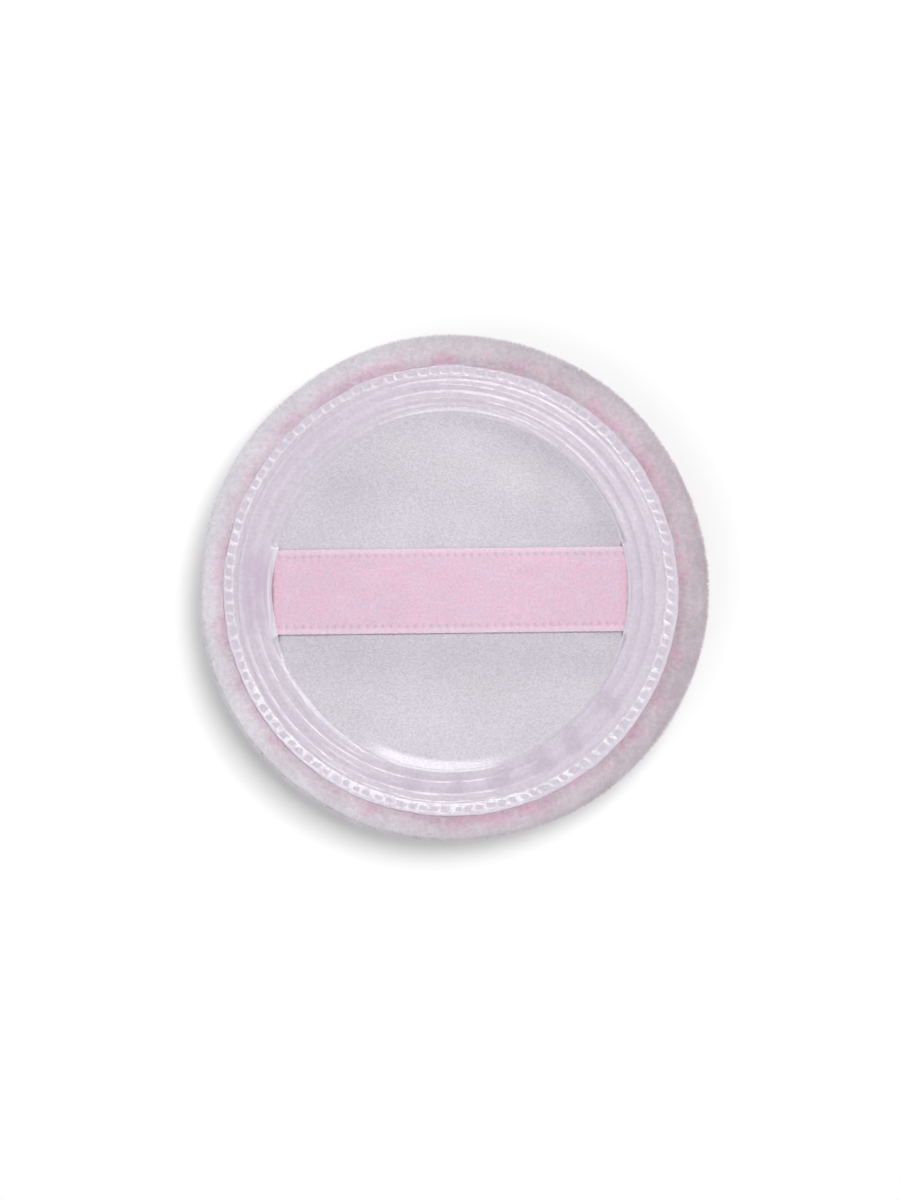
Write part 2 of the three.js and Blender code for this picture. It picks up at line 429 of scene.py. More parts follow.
def group(name, inputs, outputs):
    """An empty shader node group with named sockets; gives the group, its inputs and its output node."""
    made = bpy.data.node_groups.new(name, "ShaderNodeTree")
    for key, kind in inputs.items():
        made.interface.new_socket(name=key, in_out="INPUT", socket_type=kind)
    for key, kind in outputs.items():
        made.interface.new_socket(name=key, in_out="OUTPUT", socket_type=kind)
    source = made.nodes.new("NodeGroupInput")
    target = made.nodes.new("NodeGroupOutput")
    return made, source.outputs, target


def mottle_group():
    """Cloth mottling: a colour drifts to a duller one in soft blotches, with a fine grain on top."""
    name = "Cloth mottle"
    if name in bpy.data.node_groups:
        return bpy.data.node_groups[name]
    inputs = {
        "Vector": "NodeSocketVector", "Colour": "NodeSocketColor", "Shade": "NodeSocketColor",
        "Blotch": "NodeSocketFloat", "Grain": "NodeSocketFloat",
    }
    made, source, target = group(name, inputs, {"Colour": "NodeSocketColor", "Grain": "NodeSocketFloat"})
    blotch, grain = (
        put(made, "ShaderNodeTexNoise", {"Vector": source["Vector"], "Scale": source[key], "Detail": detail})
        for key, detail in (("Blotch", 3.0), ("Grain", 2.0))
    )
    drift = ramp(made, blotch.outputs["Fac"], 0.35, 0.68)
    cloth = mix(made, drift, source["Colour"], source["Shade"])
    speck = ramp(made, grain.outputs["Fac"], 0.25, 0.75, 0.9, 1.1)
    made.links.new(scaled(made, cloth, speck), target.inputs["Colour"])
    made.links.new(grain.outputs["Fac"], target.inputs["Grain"])
    return made


def pile_group(form, colours):
    """Pile tint: pale tips that turn pink in blotches close to the rim.

    Towards +X the tint is darker, a painted shade of the side of the pile away from the light,
    and more clouded there. Painted shade also darkens the roots and the pile just beside the rim.
    """
    name = "Pile tint"
    if name in bpy.data.node_groups:
        return bpy.data.node_groups[name]
    inputs = {"Vector": "NodeSocketVector", "Depth": "NodeSocketFloat"}
    made, source, target = group(name, inputs, {"Colour": "NodeSocketColor"})
    place = source["Vector"]
    flat = scaled(made, place, FLAT)
    radius = measure(made, "LENGTH", flat)
    near = ramp(made, radius, (form.rim + 0.3) * MM, (form.rim + 2.4) * MM, 1.0, 0.0)
    outside = ramp(made, radius, (form.rim - 0.6) * MM, (form.rim - 0.2) * MM)
    upper = product(made, outside, ramp(made, axes(made, place)["Z"], BELLY_HEIGHT * MM, 6.5 * MM))
    reach = form.belly * MM
    lie = measure(made, "DOT_PRODUCT", flat, (1 / reach, 0.05 / reach, 0))
    away = ramp(made, lie, -1.0, 1.0)
    # Painted shade: the tint darkens towards +X
    base = mix(made, away, colours.pile_tip, colours.pile_shade)
    blotch = maths(made, "ADD", noise(made, place, 3.6 * MM, 4.0, 0.6), product(made, lie, 0.01))
    pink = product(made, ramp(made, blotch, 0.45, 0.58), ramp(made, away, 0.1, 0.7, 0.3, 0.6))
    pink = maths(made, "ADD", pink, ramp(made, away, 0.1, 0.7, 0.28, 0.12))
    tint = mix(made, product(made, near, upper, pink), base, colours.pile_root)
    cloud = ramp(made, noise(made, place, 5 * MM, 3.0), 0.3, 0.7, -0.04, 0.04)
    cloud = product(made, cloud, ramp(made, away, 0.5, 0.9, 1.0, 2.2))
    # Painted shade: Depth darkens the pile towards the roots of its strands
    tone = maths(made, "SUBTRACT", maths(made, "ADD", cloud, 0.99), product(made, source["Depth"], 0.1))
    flecks = ramp(made, noise(made, place, 0.6 * MM, 4.0, 0.7), 0.3, 0.7, -0.09, 0.09)
    # Painted shade on the pile just beside the rim
    edge = ramp(made, radius, (form.rim + 0.2) * MM, (form.rim + 1.4) * MM, 1.0, 0.0)
    painted_rim_shade = product(made, upper, ramp(made, away, 0.2, 0.8, 0.13, 0.14), edge)
    tone = maths(made, "SUBTRACT", maths(made, "ADD", tone, flecks), painted_rim_shade)
    made.links.new(scaled(made, tint, tone), target.inputs["Colour"])
    return made


def use_group(tree, made, feeds):
    """A node group placed in a material; gives its outputs."""
    return put(tree, "ShaderNodeGroup", feeds, node_tree=made).outputs


def places(tree):
    """Where a point of the surface lies, in metres."""
    return put(tree, "ShaderNodeTexCoord", {}).outputs["Object"]


def bump(tree, surface, height, strength, distance):
    """Fine relief on a surface."""
    feeds = {"Strength": strength, "Distance": distance, "Height": height}
    made = put(tree, "ShaderNodeBump", feeds)
    tree.links.new(made.outputs["Normal"], surface.inputs["Normal"])


def settle(surface, values):
    """Constants on a shader's own sockets."""
    for key, value in values.items():
        surface.inputs[key].default_value = value


def finish_piece(piece, material, body="pad"):
    """Gives a piece its material, and lets it move with its body."""
    piece.data.materials.clear()
    piece.data.materials.append(material)
    if body:
        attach(piece, body)


def velour_material(form, colours, strands):
    """Soft matt pile; on the strands a painted shade darkens the tint from tip to root along the strand's
    map.
    """
    made, tree, surface = shader("velour strands" if strands else "velour ground")
    place = places(tree)
    # The ground lies under the strands and takes the painted shade of their roots
    feeds = {"Vector": place, "Depth": 0.45}
    if strands:
        along = axes(tree, put(tree, "ShaderNodeUVMap", {}, uv_map="UVMap").outputs[0])
        feeds["Depth"] = maths(tree, "SUBTRACT", 1.0, along["Y"])
    tint = use_group(tree, pile_group(form, colours), feeds)["Colour"]
    if strands:
        tint = scaled(tree, tint, ramp(tree, along["X"], 0.0, 1.0, 0.92, 1.06))
    else:
        bump(tree, surface, noise(tree, place, 0.35 * MM, 3.0, 0.6), 0.4, 0.2 * MM)
    tree.links.new(tint, surface.inputs["Base Color"])
    matt = {"Roughness": 0.95, "Specular IOR Level": 0.15, "Sheen Weight": 0.9, "Sheen Roughness": 0.6}
    settle(surface, matt)
    return made


def plush_outline(form, inset):
    """Outline of the plush in radius and height, from under its middle round to the parting at the rim.

    A flat patch, a quarter ellipse up to the belly, a squarer quarter turn over to the crest, and a
    dip into the parting. Inset draws it in by the depth of the pile.
    """
    crest, square = form.rim + 0.45, 0.66
    turn = np.linspace(0, np.pi / 2, 40)
    under_r = REST_RADIUS + (form.belly - inset - REST_RADIUS) * np.sin(turn)
    under_z = BELLY_HEIGHT - (BELLY_HEIGHT - inset) * np.cos(turn)
    over_r = crest + (form.belly - inset - crest) * np.cos(turn) ** square
    over_z = BELLY_HEIGHT + (form.pile_top - inset * 0.7 - BELLY_HEIGHT) * np.sin(turn) ** square
    patch = np.linspace(0.15, REST_RADIUS, 24)[:-1]
    dip = np.linspace(0, 1, 8)[1:]
    dip_r = crest - (crest - form.rim + 0.03) * dip
    dip_z = over_z[-1] - 0.1 * dip**1.6
    radius = np.concatenate([patch, under_r, over_r[1:], dip_r])
    height = np.concatenate([np.full(len(patch), inset), under_z, over_z[1:], dip_z])
    return radius, height


def plush_skin(form, radius, height, columns):
    """The outline turned about the axis, a little wider towards the upper right as the pile lies."""
    angle = np.linspace(0, 2 * np.pi, columns, endpoint=False)
    stand = smooth(form.rim, form.belly, radius)[:, None]
    welded = smooth(form.belly - 1, form.rim, radius)[:, None]
    spread = radius[:, None] * (1 + (form.oval(angle) - 1) * welded)
    spread = spread + stand * (
        0.41 * np.cos(angle - 0.67) + 0.1 * np.cos(2 * angle - 0.4) - 0.05
        + 0.08 * np.cos(3 * angle + 1.1) + 0.05 * np.cos(7 * angle + 0.4)
    )
    return np.stack(
        [spread * np.cos(angle), spread * np.sin(angle), np.broadcast_to(height[:, None], spread.shape)], -1
    )


def skin_normals(points):
    """Outward normals of a grid that closes along its columns."""
    along = np.gradient(points, axis=0)
    around = np.roll(points, -1, 1) - np.roll(points, 1, 1)
    normal = np.cross(around, along)
    normal /= np.maximum(np.linalg.norm(normal, axis=-1, keepdims=True), 1e-9)
    return normal, along / np.maximum(np.linalg.norm(along, axis=-1, keepdims=True), 1e-9)


def soft_normals(out):
    """Normals turned upwards on the sides, as a deep nap takes light from above."""
    shade = out + smooth(-0.4, 0.4, out[..., 2:]) * [0, 0, 5]
    return shade / np.linalg.norm(shade, axis=-1, keepdims=True)


def fan(ring_start, columns, pole):
    """Triangles from one ring of a grid to a single point."""
    j = np.arange(columns)
    return np.stack([ring_start + j, ring_start + (j + 1) % columns, np.full(columns, pole)], -1)


def strand_mesh(name, roots, heading, bend, reach, width, rng):
    """Thin three-sided strands: a foot, a waist at half their reach and a point, bent towards a side."""
    count = len(roots)
    helper = np.where(np.abs(heading[:, 2:]) < 0.8, [[0.0, 0.0, 1.0]], [[1.0, 0.0, 0.0]])
    side = np.cross(heading, helper)
    side /= np.linalg.norm(side, axis=1, keepdims=True)
    other = np.cross(heading, side)
    waist = roots + heading * (0.5 * reach)[:, None]
    tip_way = heading + bend
    tip_way /= np.linalg.norm(tip_way, axis=1, keepdims=True)
    tips = waist + tip_way * (0.5 * reach)[:, None]
    turn = rng.uniform(0, 2 * np.pi, count)[:, None] + np.arange(3) * 2 * np.pi / 3
    ring = side[:, None] * np.cos(turn)[..., None] + other[:, None] * np.sin(turn)[..., None]
    foot = roots[:, None] + ring * (width / 2)[:, None, None]
    middle = waist[:, None] + ring * (width * 0.42)[:, None, None]
    points = np.concatenate([foot, middle, tips[:, None]], 1)
    points[..., 2] = np.maximum(points[..., 2], 0.02)
    first = np.arange(count)[:, None] * STRAND_POINTS
    sides = np.array([[0, 1, 4, 3], [1, 2, 5, 4], [2, 0, 3, 5]])
    ends = np.array([[3, 4, 6], [4, 5, 6], [5, 3, 6], [2, 1, 0]])
    quads = (first[:, None] + sides).reshape(-1, 4)
    tris = (first[:, None] + ends).reshape(-1, 3)
    along = np.broadcast_to(np.array([0, 0, 0, 0.5, 0.5, 0.5, 1.0]), (count, STRAND_POINTS))
    tone = np.broadcast_to(rng.uniform(0, 1, count)[:, None], (count, STRAND_POINTS))
    uv = np.stack([tone, along], -1).reshape(-1, 2)
    return put_mesh(name, points.reshape(-1, 3), [quads, tris], uv)


class PUFF_OT_velour(bpy.types.Operator):
    """Plush face: a stuffed ground that a cloth simulation fills out, and the strands of its pile."""

    bl_idname = "puff.velour"
    bl_label = "Plush face"

    def execute(self, context):
        form = Form(context.scene.puff_sizes)
        colours = context.scene.puff_colours
        inset = 0.5 * form.pile
        radius, height = plush_outline(form, inset)
        skin = self.filled(form, radius, height, SKIN_COLUMNS)
        self.ground(form, colours, skin)
        self.pile(form, colours, skin)
        return {"FINISHED"}

    def filled(self, form, radius, height, columns):
        """The skin filled out by its stuffing, held at the rim, at the core's belly and where it rests.

        A coarse grid is simulated. Its movement is capped, and fades out towards the belly so that no
        groove is left there, and the fine grid takes it over in straight lines between the coarse points.
        """
        skin = plush_skin(form, radius, height, columns)
        pressure, slack, frames, most = PLUSH_CLOTH
        every_row, every_column, sewn_rows = 2, 8, 5
        rest_height, belly_band, belly_fade = 1.2, 0.2, 2.2
        coarse = skin[::every_row, ::every_column]
        rows, across = coarse.shape[:2]
        faces = [lattice(rows, across, wrap_columns=True)]
        flat = coarse.reshape(-1, 3)
        over_belly = flat[:, 2:] - BELLY_HEIGHT
        held = (flat[:, 2] < rest_height) | (np.abs(over_belly[:, 0]) < belly_band)
        held |= np.arange(len(flat)) >= (rows - sewn_rows) * across
        found = relax(flat, faces, held, pressure, slack, frames)
        ease = 1 - np.exp(-((over_belly / belly_fade) ** 2))
        moved = ((capped(flat, found, most) - flat) * ease).reshape(rows, across, 3)
        moved = np.concatenate([moved, moved[:, :1]], 1)
        fine_columns = np.arange(columns) / every_column
        fine_rows = np.minimum(np.arange(len(radius)) / every_row, rows - 1)
        i, j = fine_rows.astype(int), fine_columns.astype(int)
        a, b = (fine_rows - i)[:, None, None], (fine_columns - j)[None, :, None]
        k = np.minimum(i + 1, rows - 1)
        upper = moved[i][:, j] * (1 - b) + moved[i][:, j + 1] * b
        lower = moved[k][:, j] * (1 - b) + moved[k][:, j + 1] * b
        skin = skin + upper * (1 - a) + lower * a
        skin[..., 2] = np.maximum(skin[..., 2], height.min())
        return skin

    def ground(self, form, colours, skin):
        """The closed ground of the plush: the skin roughened by its nap, with a plain inside."""
        rng = np.random.default_rng(11)
        rows, columns = skin.shape[:2]
        normal, _ = skin_normals(skin)
        nap = rng.normal(0, 1, (rows, columns))
        nap = (nap + np.roll(nap, 1, 1) + np.roll(nap, -1, 1)) / 3
        nap[1:-1] = (nap[:-2] + 2 * nap[1:-1] + nap[2:]) / 4
        nap *= smooth(0.3, 3, np.hypot(skin[..., 0], skin[..., 1]))
        tufts = waves(skin, 1.6, 5) * 0.02
        outside = skin + normal * (0.03 * nap + tufts)[..., None]
        outside[..., 2] = np.maximum(outside[..., 2], 0.05)
        angle = np.linspace(0, 2 * np.pi, columns, endpoint=False)
        deep_r = np.array([form.rim - 0.03, form.rim - 0.3, form.inner, form.inner * 0.6, 0.3])
        deep_z = np.array([form.rim_low + 0.1, form.rim_low - 0.15, form.rim_low - 0.2, 4.8, 3.85])
        inside = np.stack(
            [
                deep_r[:, None] * np.cos(angle),
                deep_r[:, None] * np.sin(angle),
                np.broadcast_to(deep_z[:, None], (len(deep_r), columns)),
            ],
            -1,
        )
        grid = np.concatenate([outside, inside])
        total = len(grid) * columns
        poles = np.array([[0, 0, outside[0, :, 2].mean()], [0, 0, deep_z[-1]]])
        points = np.concatenate([grid.reshape(-1, 3), poles])
        faces = [
            lattice(len(grid), columns, wrap_columns=True),
            np.concatenate([fan(0, columns, total)[:, ::-1], fan(total - columns, columns, total + 1)]),
        ]
        piece = put_mesh("velour_ground", points, faces)
        shade = np.broadcast_to([0.0, 0.0, 1.0], points.shape).copy()
        shade[:normal[..., 0].size] = soft_normals(normal).reshape(-1, 3)
        shade[total] = 0, 0, -1
        piece.data.normals_split_custom_set_from_vertices(shade)
        finish_piece(piece, velour_material(form, colours, False))
        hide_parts("velour_face")

    def pile(self, form, colours, skin):
        """Strands rooted all over the skin, leaning away from the rim and pressed flat where it rests.

        A zone is a span of rows and a span of columns, with the number of its strands. Fibres this fine let
        the light through, so the strands cast no shadow.
        """
        material = velour_material(form, colours, True)
        normal, along = skin_normals(skin)
        radius = np.hypot(skin[..., 0], skin[..., 1]).mean(1)
        rows, columns = skin.shape[:2]
        belly = int(np.argmax(radius))
        shoulder = int(np.argmax(radius > SHOULDER_RADIUS))
        middle = int(np.argmax(radius > MIDDLE_RADIUS))
        half = columns // 2
        zones = {
            "pile_crest_back": (belly, rows - 2, 0, half, 19500),
            "pile_crest_front": (belly, rows - 2, half, columns, 19500),
            "pile_side_back": (shoulder, belly, 0, half, 17000),
            "pile_side_front": (shoulder, belly, half, columns, 17000),
            "pile_face_outer": (middle, shoulder, 0, columns, 16000),
            "pile_face_inner": (1, middle, 0, columns, 16000),
        }
        ring_step = np.linalg.norm(np.diff(skin[:, 0], axis=0), axis=1)
        for seed, (name, (low, high, first, last, count)) in enumerate(zones.items()):
            rng = np.random.default_rng(100 + seed)
            weight = radius[low:high] * ring_step[low:high]
            row = rng.choice(np.arange(low, high), count, p=weight / weight.sum())
            column = rng.integers(first, last, count)
            slide, turn = rng.uniform(0, 1, (2, count, 1))
            after = (column + 1) % columns
            root = (
                skin[row, column] * (1 - slide) * (1 - turn) + skin[row + 1, column] * slide * (1 - turn)
                + skin[row, after] * (1 - slide) * turn + skin[row + 1, after] * slide * turn
            )
            out = normal[row, column]
            away = -along[row, column]
            pressed = 1 - smooth(0.7, 2.2, root[:, 2:])
            near = smooth(form.rim + 1.5, form.rim + 0.4, np.hypot(root[:, :1], root[:, 1:2]))
            clump = np.stack([waves(root, 1.3, 40 + k) for k in range(3)], -1)
            lean = away * (0.4 - 0.65 * near) + 0.06 * clump + rng.normal(0, 0.18, (count, 3))
            heading = out * (0.8 - 0.4 * pressed) + lean + smooth(0, 0.6, out[:, 2:]) * [0, 0, 0.3]
            heading /= np.linalg.norm(heading, axis=1, keepdims=True)
            bend = rng.normal(0, 0.2, (count, 3)) + lean * 0.3
            reach = form.pile * rng.uniform(0.6, 1.15, count) * (1 - 0.25 * pressed[:, 0] - 0.4 * near[:, 0])
            width = form.fibre * rng.uniform(0.7, 1.25, count)
            piece = strand_mesh(name, root - out * 0.12, heading, bend, reach, width, rng)
            shade = np.repeat(soft_normals(out), STRAND_POINTS, axis=0)
            piece.data.normals_split_custom_set_from_vertices(shade)
            piece.visible_shadow = False
            finish_piece(piece, material)


class PUFF_OT_back_panel(bpy.types.Operator):
    """Satin back panel: a round sheet over the foam, relaxed as cloth between its welded edges."""

    bl_idname = "puff.back_panel"
    bl_label = "Satin back panel"

    def execute(self, context):
        form = Form(context.scene.puff_sizes)
        colours = context.scene.puff_colours
        # A square grid bent to a disc, closer set where the satin rises to the rim's lip
        steps = 101
        even = np.linspace(-1, 1, 4001)
        dense = np.cumsum(1 + 1.6 * np.exp(-(((np.abs(even) - 0.81) / 0.07) ** 2)))
        share = np.interp(np.linspace(dense[0], dense[-1], steps), dense, even)
        a, b = np.meshgrid(share, share)
        x = form.panel * a * np.sqrt(1 - b * b / 2)
        y = form.panel * b * np.sqrt(1 - a * a / 2)
        flat = np.stack([x, y, form.satin_top(x, y)], -1).reshape(-1, 3)
        faces = [lattice(steps, steps)]
        radius = np.hypot(flat[:, 0], flat[:, 1])
        pressure, slack, frames, most = SATIN_CLOTH
        welded = form.inner - 2.6
        found = relax(flat, faces, radius > welded, pressure, slack, frames)
        loose = smooth(welded, form.inner - 9, radius)[:, None]
        flat = flat + (capped(flat, found, most) - flat) * loose
        ease = 1 - smooth(form.inner - 0.6, form.inner, radius)
        flat[:, 2] += 0.05 * waves(flat, 9, 21) * ease
        count = len(flat)
        under = flat - [0, 0, form.satin]
        edge = np.concatenate([
            np.arange(steps), np.arange(1, steps) * steps + steps - 1,
            count - 2 - np.arange(steps - 1), (steps - 2 - np.arange(steps - 2)) * steps,
        ])
        after = np.roll(edge, -1)
        hem = np.stack([edge, after, after + count, edge + count], -1)[:, ::-1]
        faces = [np.concatenate([faces[0], faces[0][:, ::-1] + count, hem])]
        piece = put_mesh("satin_panel", np.concatenate([flat, under]), faces)
        fine = piece.modifiers.new("Smooth", "SUBSURF")
        fine.levels = fine.render_levels = 1
        finish_piece(piece, self.material(colours))
        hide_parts("back_panel")
        return {"FINISHED"}

    def material(self, colours):
        """Fine satin: a grain drawn out along the warp, and a painted shade that darkens it towards the
        upper right.

        Painted shade also lies in a strip below the ribbon, as the ribbon's shadow, and in one broad patch
        above it, and a painted highlight brightens another patch.
        """
        made, tree, surface = shader("satin")
        place = places(tree)
        feeds = {
            "Vector": scaled(tree, place, (0.8, 1, 1)), "Colour": (*colours.satin, 1),
            "Shade": (*colours.satin_shade, 1), "Blotch": 110.0, "Grain": 4400.0,
        }
        cloth = use_group(tree, mottle_group(), feeds)
        # Painted shade: darker towards the upper right
        side = measure(tree, "DOT_PRODUCT", place, (0.78, 0.62, 0))
        speckle = ramp(tree, noise(tree, place, 0.3 * MM, 2.0, 0.6), 0.3, 0.7, 0.976, 1.024)
        sheen = product(tree, ramp(tree, side, 4 * MM, 20 * MM, 1.04, 0.89), speckle)
        flat = scaled(tree, place, FLAT)
        # Middle and reach of each painted shade or highlight patch in millimetres, and what it does to the
        # colour
        for x, y, reach, change in ((-11.5, 13, 8.5, 0.92), (4.5, 11, 8, 1.03)):
            far = measure(tree, "DISTANCE", flat, (x * MM, y * MM, 0))
            sheen = product(tree, sheen, ramp(tree, far, 0, reach * MM, change, 1.0))
        up = axes(tree, place)["Y"]
        # Painted shadow of the ribbon: a darker strip just below it
        strip = ramp(tree, up, -12.5 * MM, -7 * MM, 1.03, 0.92)
        sheen = product(tree, sheen, strip, ramp(tree, up, -4 * MM, 4 * MM, 1.0, 1.087))
        tree.links.new(scaled(tree, cloth["Colour"], sheen), surface.inputs["Base Color"])
        rough = ramp(tree, noise(tree, place, 4 * MM), 0.3, 0.7, 0.19, 0.27)
        tree.links.new(rough, surface.inputs["Roughness"])
        settle(surface, {"Specular IOR Level": 0.9, "Sheen Weight": 0.1})
        bump(tree, surface, cloth["Grain"], 0.42, 0.06 * MM)
        return made


class PUFF_OT_weld_rim(bpy.types.Operator):
    """Welded rim: a milky ring with ridges, a knurled edge and a thin lip over the satin and ribbon."""

    bl_idname = "puff.weld_rim"
    bl_label = "Welded rim"

    def execute(self, context):
        form = Form(context.scene.puff_sizes)
        # Ten columns to a tooth, and rows from the opening out over the top and back underneath
        shares = np.array([-0.5, -0.36, -0.27, -0.18, -0.09, 0, 0.09, 0.18, 0.27, 0.36])
        angle = ((np.arange(form.teeth)[:, None] + shares) * 2 * np.pi / form.teeth).ravel()
        self.edges = self.ridge_edges(form)
        self.facets = 0.25, 0.36
        radius, turn = np.broadcast_arrays(self.rows(form)[:, None], angle[None, :])
        x, y = self.spread(form, radius, turn)
        top, milk, deep, cloth = self.upper(form, radius, turn, x, y)
        patchy = smooth(-0.3, 0.6, waves(np.stack([x, y, 0 * x], -1), 5, 47))
        seam = 0.8 * patchy * smooth(form.rim - 0.14, form.rim - 0.03, radius)
        below = form.rim + np.array([0.03, -0.25, -1.6, -1.75, -4.4, -5.2, -5.6])
        low_r = np.append(below, form.inner - 0.02)
        low_r, low_turn = np.broadcast_arrays(low_r[:, None], angle[None, :])
        low_r = low_r + form.stretch(low_r, low_turn)
        lx, ly = low_r * np.cos(low_turn), low_r * np.sin(low_turn)
        laid = form.lip_floor(lx, ly) + 0.005 + 0.02 * form.under_tape(lx, ly)
        held = np.maximum(laid, form.margin_top + 0.1)
        low = np.where(low_r > form.rim - 1.7, form.rim_low, held)
        points = np.concatenate([np.stack([x, y, top], -1), np.stack([lx, ly, low], -1)])
        points[..., :2] *= form.oval(angle)[None, :, None]
        faces = [lattice(len(points), len(angle), wrap_rows=True, wrap_columns=True)]
        piece = put_mesh(
            "weld_rim_film", points.reshape(-1, 3), faces,
            milk=np.concatenate([milk, 0 * low]).ravel(), deep=np.concatenate([deep, 0 * low + 1]).ravel(),
            cloth=np.concatenate([cloth, 0 * low]).ravel(), seam=np.concatenate([seam, 0 * low]).ravel(),
        )
        finish_piece(piece, self.material(form, context.scene.puff_colours))
        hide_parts("weld_rim")
        return {"FINISHED"}

    def ridge_edges(self, form):
        """Inner and outer edge of each of the three ridges, from the knurl inwards."""
        step = np.arange(3)
        middle = form.rim - 2.11 - form.ridge_pitch * step
        half = 0.33 + 0.045 * step
        return np.stack([middle - half, middle + half], -1)

    def rows(self, form):
        """Radii of the rows, close together at each edge that catches the light."""
        near = np.array([-1.3, -0.85, 0, 0.85, 1.3]) / 2
        steps = [(edge[:, None] + near * wide).ravel() for edge, wide in zip(self.edges.T, self.facets)]
        steps += [form.inner + np.array([0, 0.04, 0.1, 0.16, 0.22, 0.3, 0.45, 0.65]), self.edges.mean(1)]
        steps += [form.rim - np.arange(1.85, 0.1, -0.09), form.rim - np.array([0.08, 0.04, 0.015, 0])]
        return np.unique(np.concatenate(steps).round(4))

    def spread(self, form, radius, turn):
        """Where the rim's points lie: the opening out of round, the ridges off centre, the ribs askew."""
        ring = np.stack([np.cos(turn) * form.rim, np.sin(turn) * form.rim, 0 * turn], -1)
        ridged = smooth(form.inner, form.inner + 1, radius) * smooth(form.rim - 1.6, form.rim - 2.2, radius)
        knurled = smooth(form.rim - 2.2, form.rim - 1.8, radius) * smooth(form.rim, form.rim - 0.2, radius)
        askew = 0.16 * waves(ring, 3.5, 45) + 0.25 * waves(ring, 12, 43) * (radius - form.rim + 0.8)
        turn = turn + knurled * askew * 2 * np.pi / form.teeth
        centre = -0.3 * np.cos(turn - np.radians(340))
        ragged = 0.03 * waves(ring, 1.3, 48) + 0.03 * waves(ring, 5, 49)
        trimmed = smooth(form.rim - 0.4, form.rim, radius) * ragged
        shifted = ridged * (centre + 0.06 * waves(ring, 40, 39))
        radius = radius + form.stretch(radius, turn) + shifted + trimmed
        return radius * np.cos(turn), radius * np.sin(turn)

    def upper(self, form, radius, turn, x, y):
        """Height of the rim's top, how milky or painted with a highlight it is, how much painted shade lies
        in it as in a groove or crease, and how near to the satin's colour.

        Three low ridges with flat tops, then a raised band with a row of rounded pockets, one between
        each two teeth. Each slope is a flat facet. Slow waves make all of it uneven, as melted film is,
        and narrow creases cross the ridges at the bottom and lower right.
        """
        around = np.stack([np.cos(turn) * form.rim, np.sin(turn) * form.rim, radius * 3], -1)
        uneven = 1 + 0.12 * waves(around, 14, 31) + 0.2 * waves(around, 3.5, 32)
        uneven = uneven + 0.2 * waves(around, 1.2, 34)
        degrees = np.degrees(turn) % 360
        film = smooth(form.rim - 1.9, form.rim - 2.6, radius)
        folds, depths = np.array([259, 271.5, 285, 297.5, 309, 324]), np.array([0.4, 0.5, 0.9, 1, 1, 0.8])
        bent = (degrees + 1.2 * waves(around, 9, 37))[..., None] - folds
        crease = film * (depths * np.exp(-((bent / 2.8) ** 2))).max(-1)
        ridge = np.zeros_like(radius)
        shown = 1, 1, 1 - form.pull(turn)
        for (low, high), share in zip(self.edges, shown):
            rise, fall = (radius - low) / self.facets[0], (high - radius) / self.facets[1]
            ridge = ridge + share * np.clip(np.minimum(rise, fall) + 0.5, 0, 1)
        ridge = ridge * (1 - 0.8 * crease)
        raised, milk = self.knurl(form, radius, turn, degrees)
        height = form.rim_top - 0.11 + form.ridge_height * uneven * ridge + form.knurl_depth * raised
        height = height + film * 0.02 * waves(around, 6, 33) - 0.045 * crease
        tape = form.under_tape(x, y)
        thin = 1 - 0.5 * np.exp(-(((degrees - 220) / 22) ** 2)) + 0.5 * np.exp(-(((degrees - 80) / 30) ** 2))
        lip = smooth(form.inner + 0.9 * np.maximum(thin, tape), form.inner + 0.02, radius)
        height = height * (1 - lip) + lip * (form.lip_floor(x, y) + 0.015 + 0.04 * tape)
        # Painted highlight on the lip over the tape: broad at its left end, faint at its right end
        turned = 0.5 * smooth(form.inner + 0.62, form.inner + 0.3, radius) * (x < 0)
        turned = tape * np.maximum(turned, 0.1 * smooth(form.inner + 0.45, form.inner + 0.2, radius))
        milk = np.clip(np.maximum(milk, turned), 0, 1)
        # Painted shade in the grooves, the pockets and the creases
        deep = 1 - np.clip(ridge + raised, 0, 1) + 2.5 * crease
        cloth = smooth(form.inner + 2.4, form.inner + 0.1, radius) * 0.35
        cloth = np.maximum(cloth, 0.8 * smooth(form.inner + 0.8, form.inner, radius)) * (1 - tape)
        return height, milk, deep, cloth

    def knurl(self, form, radius, turn, degrees):
        """The knurled band, 0 in its pockets and 1 on their walls, and how white the walls are, partly the
        film's milky colour and partly a painted highlight.

        A pocket is a rectangle with round corners. Its size and the whiteness of its walls are random,
        and the track runs closer to the trimmed edge at the upper left. The painted highlight makes the
        walls whitest from the lower left to the bottom. At the top it lies only on the inner ends of the
        pockets, at the lower right only on their ribs and outer ends.
        """
        rng = np.random.default_rng(35)
        pitch = 2 * np.pi * (form.rim - 0.8) / form.teeth
        place = turn * form.teeth / (2 * np.pi)
        pocket = np.floor(place).astype(int) % form.teeth
        nearest = np.floor(place + 0.5).astype(int) % form.teeth
        across = np.abs(place % 1 - 0.5) * pitch
        track = form.rim - 0.76 - 0.2 * np.cos(turn - np.radians(330))
        along = radius - track + rng.uniform(-0.06, 0.06, form.teeth)[pocket]
        lower = smooth(190, 212, degrees) * smooth(298, 280, degrees)
        corner, half = 0.28, pitch / 2 - (rng.uniform(0.09, 0.22, form.teeth)[nearest] + 0.07 * lower)
        deep = rng.uniform(0.32, 0.44, form.teeth)[pocket]
        aside = np.maximum(across - half + corner, 0)
        endwise = np.maximum(np.abs(along) - deep + corner, 0)
        edge = np.hypot(aside, endwise) - corner
        ends = np.clip((0.68 + along) / 0.18, 0, 1)
        raised = np.clip(edge / 0.15 + 0.4, 0, 1) * ends
        top = np.exp(-(((degrees - 92) / 32) ** 2))
